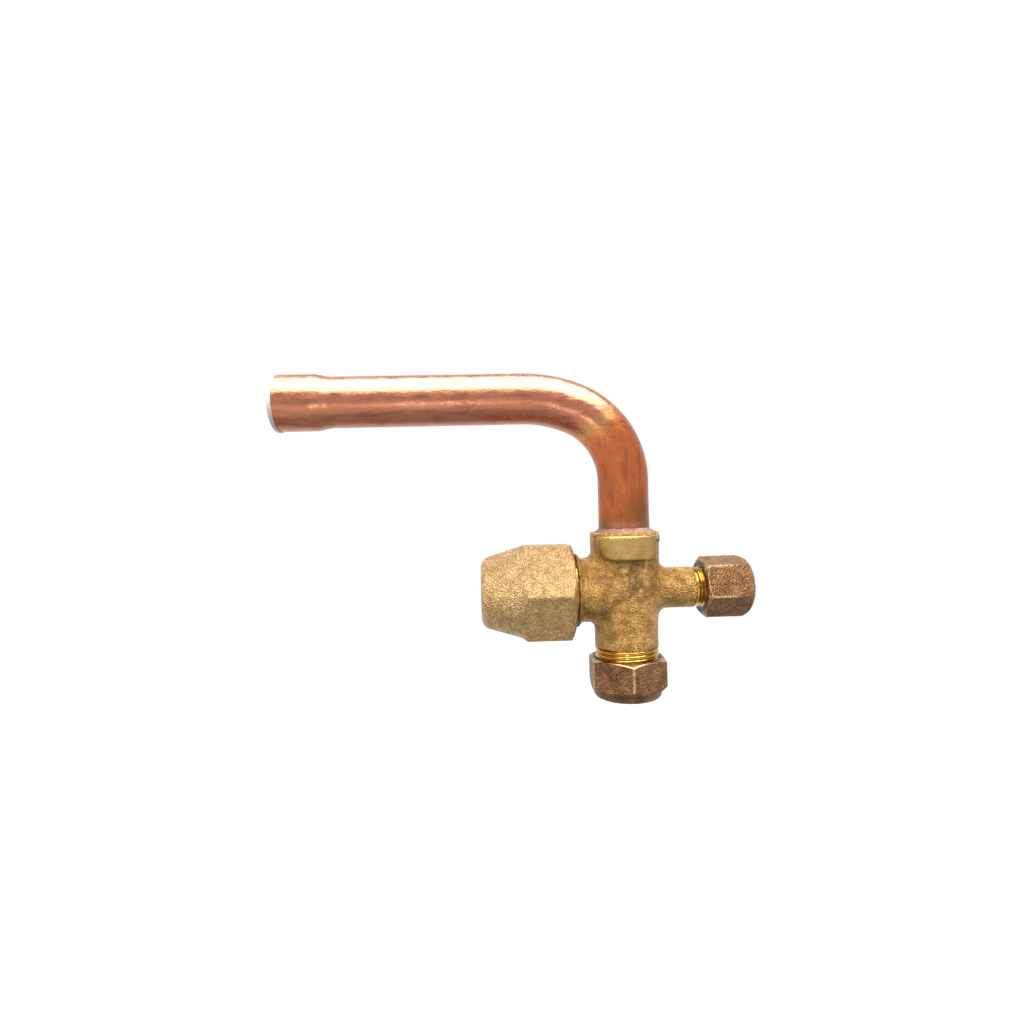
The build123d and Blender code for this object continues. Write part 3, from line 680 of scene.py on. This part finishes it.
hexagons = {
    "flareNutForging": {
        "node": "flare_nut", "branch": "flare", "body": "nut", "slot": "nut_brass",
        "flats": 29.0, "corner": 91.5, "soft": 0.55, "rub": 0.07, "outline": [
            (17.2, 11.21, 0.15), (17.2, 14.2, 0.2), (18.63, 16.9, 0), (31.9, 16.75, 0.4),
            (33.3, 14.45, 0.8), (36.85, 13.35, 0.05), (36.98, 13.17, 0), (37.22, 13.14, 0),
            (37.35, 13.2, 0.05), (45.1, 10.77, 1.7), (45.8, 8.45, 0), (45.4, 8.05, 0.1),
            (30.7, 8.05, 0.3), (28.73, 8.3, 0.3), (27.43, 9.6, 0), (27.38, 11.21, 0)]},
    "stemCapForging": {
        "node": "stem_cap", "branch": "down", "body": "stem_cap", "slot": "cap_brass",
        "flats": 23.0, "corner": 93.5, "soft": 0.4, "rub": 0.05, "outline": [
            (21.3, 10.05, 0.15), (21.3, 11.1, 0.12), (22.2, 13.28, 0), (29.45, 13.28, 0.3),
            (31.9, 10.85, 0.5), (34.0, 10.5, 1.6), (34.0, 0.35, 0), (31.2, 0.35, 0),
            (31.0, 7.5, 0.1), (30.2, 7.5, 0), (30.2, 10.05, 0)]},
}


def softLeast(first, second, reach):
    near = max(reach - abs(first - second), 0.0) / reach
    return min(first, second) - near * near * reach / 4


def forgeHexagon(name, size):
    mesh = turnOutline(size["outline"], 0.3, 360)
    apothem = size["flats"] / 2
    for vert in mesh.verts:
        radius = math.hypot(vert.co.x, vert.co.y)
        if radius < apothem - 2 * size["soft"]:
            continue
        angle = math.degrees(math.atan2(vert.co.y, vert.co.x)) - size["corner"]
        turn = math.radians(angle % 60)
        # the flat between these two corners, rounded into the next one
        flat = apothem / math.cos(turn - math.pi / 6)
        beyond = apothem / math.cos(min(turn, math.pi / 3 - turn) + math.pi / 6)
        limit = softLeast(flat, beyond, size["soft"])
        kept = softLeast(radius, limit, size["soft"])
        # the die leaves its faces very slightly uneven
        kept -= size["rub"] * (0.5 + 0.5 * noise.noise(vert.co * 0.16))
        vert.co.x *= kept / radius
        vert.co.y *= kept / radius
    bmesh.ops.transform(mesh, matrix=alongBranch(size["branch"]), verts=mesh.verts)
    piece = finishPiece(name, mesh, size["body"], finishes[size["slot"]], 50)
    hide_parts(size["node"])
    return piece


for hexName, hexSize in hexagons.items():
    forgeHexagon(hexName, hexSize)
print("hexagons forged")

braze = {
    "inner": 7.80, "wander": 0.16, "steps": 160, "step": 10.0, "outline": [
        (17.9, 7.80, 0), (17.9, 9.5, 0), (18.32, 9.5, 0), (18.50, 9.25, 0), (18.68, 8.85, 0),
        (18.90, 8.50, 0), (19.15, 8.24, 0), (19.37, 8.06, 0), (19.45, 7.94, 0), (19.43, 7.80, 0)],
}


def layBraze():
    mesh = turnOutline(braze["outline"], braze["step"], braze["steps"])
    for vert in mesh.verts:
        radius = math.hypot(vert.co.x, vert.co.y)
        if vert.co.z > socketMouth + 0.05 and radius > braze["inner"] + 0.05:
            slow = noise.noise(vert.co * 0.22)
            quick = noise.noise(vert.co * 1.1 + Vector((7, 3, 1)))
            vert.co.z += braze["wander"] * (1.6 * slow + 0.5 * quick) * (radius < 8.6) - 0.04
            grow = 1 + 0.05 * (0.8 * slow + 0.4 * quick) / radius * (radius > 8.1)
            vert.co.x *= grow
            vert.co.y *= grow
    bmesh.ops.transform(mesh, matrix=alongBranch("up"), verts=mesh.verts)
    piece = finishPiece("brazeRing", mesh, "valve", brazeAlloy, 60)
    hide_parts("braze_fillet")
    return piece


layBraze()
drip = {"turn": 130.0, "radius": 11.5, "height": 16.3, "size": (0.95, 0.42, 1.25)}


def hangDrip(name):
    mesh = bmesh.new()
    bmesh.ops.create_icosphere(mesh, subdivisions=4, radius=1)
    for vert in mesh.verts:
        swell = 1 + 0.35 * noise.noise(vert.co * 1.3 + Vector((4, 0, 2)))
        vert.co = (vert.co.x * drip["size"][0] * swell, vert.co.y * drip["size"][1] * swell,
                   vert.co.z * drip["size"][2] * swell)
    around = math.radians(drip["turn"])
    spot = Vector((drip["radius"] * math.sin(around), drip["radius"] * math.cos(around), drip["height"]))
    settle = Matrix.Translation(spot) @ Matrix.Rotation(-around, 4, "Z")
    bmesh.ops.transform(mesh, matrix=alongBranch("up") @ settle, verts=mesh.verts)
    return finishPiece(name, mesh, "valve", brazeAlloy, 60)


hangDrip("brazeDrip")
print("braze laid")


def windSpring(name):
    mesh = bmesh.new()
    mesh.from_mesh(nodes["core_spring"].data)
    piece = finishPiece(name, mesh, "valve", finishes["spring_steel"], 60)
    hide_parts("core_spring")
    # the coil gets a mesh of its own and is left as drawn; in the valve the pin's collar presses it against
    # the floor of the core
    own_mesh(piece)


windSpring("coreSpringCoil")
print("spring wound")


cameraView = {"place": (0.0641, -0.1943, -0.0338), "yaw": 2.149, "pitch": 0.524, "roll": 1.439,
              "lens": 21.61, "sensor": 36, "clip": 0.01}


def makeCamera():
    yaw, pitch, roll = (math.radians(cameraView[k]) for k in ("yaw", "pitch", "roll"))
    ahead = Vector((math.sin(yaw) * math.cos(pitch), math.cos(yaw) * math.cos(pitch), -math.sin(pitch)))
    right = ahead.cross(Vector((0, 0, 1))).normalized()
    up = right.cross(ahead)
    across = right * math.cos(roll) - up * math.sin(roll)
    upright = right * math.sin(roll) + up * math.cos(roll)
    data = bpy.data.cameras.new("camera")
    data.lens = cameraView["lens"]
    data.sensor_width = cameraView["sensor"]
    data.clip_start = cameraView["clip"]
    camera = bpy.data.objects.new("camera", data)
    bpy.context.scene.collection.objects.link(camera)
    turn = Matrix((across, upright, -ahead)).transposed().to_4x4()
    camera.matrix_world = Matrix.Translation(cameraView["place"]) @ turn
    bpy.context.scene.camera = camera


lamps = {
    "overhead": {"from": (0.05, -0.12, 0.26), "to": (0.05, -0.12, 0), "size": (0.55, 0.40), "radiance": 8.0},
    "lowStrip": {"from": (0.07, -0.50, -0.25), "to": (0.07, 0, -0.03), "size": (0.9, 0.05), "radiance": 0.9},
    "glint": {"from": (0.0155, -0.50, -0.20), "to": (0.02, 0, 0), "size": (0.06, 0.05), "radiance": 9.0},
}


def makeLamps():
    for name, lamp in lamps.items():
        data = bpy.data.lights.new(name, "AREA")
        data.shape = "RECTANGLE"
        data.size, data.size_y = lamp["size"]
        # an area lamp of this power is this bright to look at
        data.energy = lamp["radiance"] * 4 * data.size * data.size_y
        piece = bpy.data.objects.new(name, data)
        bpy.context.scene.collection.objects.link(piece)
        spot = Vector(lamp["from"])
        piece.location = spot
        piece.rotation_euler = (Vector(lamp["to"]) - spot).to_track_quat("-Z", "Y").to_euler()


stageLook = {"drop": 0.75, "size": 8.0, "floorColour": 0.68, "lift": 0.78, "ambient": 0.45,
             "whiteFrom": 450, "whiteAt": 820}


def seesBackdrop(tree):
    rays = place(tree, "ShaderNodeLightPath").outputs
    seen = sums(tree, "ADD", rays["Is Camera Ray"], rays["Is Glossy Ray"])
    return sums(tree, "ADD", seen, rays["Is Transmission Ray"], clamp=True)


def makeStage():
    world = bpy.data.worlds.new("studio")
    world.use_nodes = True
    bpy.context.scene.world = world
    tree = world.node_tree
    glow = tree.nodes["Background"]
    glow.inputs["Color"].default_value = (1, 1, 1, 1)
    feed(tree, spread(tree, seesBackdrop(tree), 0.0, 1.0, stageLook["ambient"], 1.0), glow.inputs["Strength"])
    mesh = bmesh.new()
    bmesh.ops.create_grid(mesh, x_segments=2, y_segments=2, size=stageLook["size"] / 2)
    bmesh.ops.translate(mesh, verts=mesh.verts, vec=(0.07, 0, cadLow.z - stageLook["drop"]))
    data = bpy.data.meshes.new("floor")
    mesh.to_mesh(data)
    mesh.free()
    material, floorTree, shader = newMaterial("paleFloor", Roughness=0.8)
    tint = spread(floorTree, cloud(floorTree, measured(floorTree), 0.02, 2.0), 0.3, 0.7,
                  stageLook["floorColour"] - 0.01, stageLook["floorColour"] + 0.01)
    feed(floorTree, tint, shader.inputs["Base Color"])
    # further out the floor is as white as the backdrop
    apart = place(floorTree, "ShaderNodeVectorMath", {0: measured(floorTree, stretch=(1, 1, 1000))},
                  operation="LENGTH").outputs["Value"]
    outer = spread(floorTree, apart, stageLook["whiteFrom"], stageLook["whiteAt"])
    whiter = sums(floorTree, "MULTIPLY", seesBackdrop(floorTree), outer)
    shader.inputs["Emission Color"].default_value = (1, 1, 1, 1)
    feed(floorTree, sums(floorTree, "MULTIPLY", whiter, stageLook["lift"]),
         shader.inputs["Emission Strength"])
    data.materials.append(material)
    floor = bpy.data.objects.new("floor", data)
    bpy.context.scene.collection.objects.link(floor)
    bpy.context.scene.view_settings.view_transform = "Standard"


makeCamera()
makeLamps()
makeStage()
print("camera, lamps and floor ready")
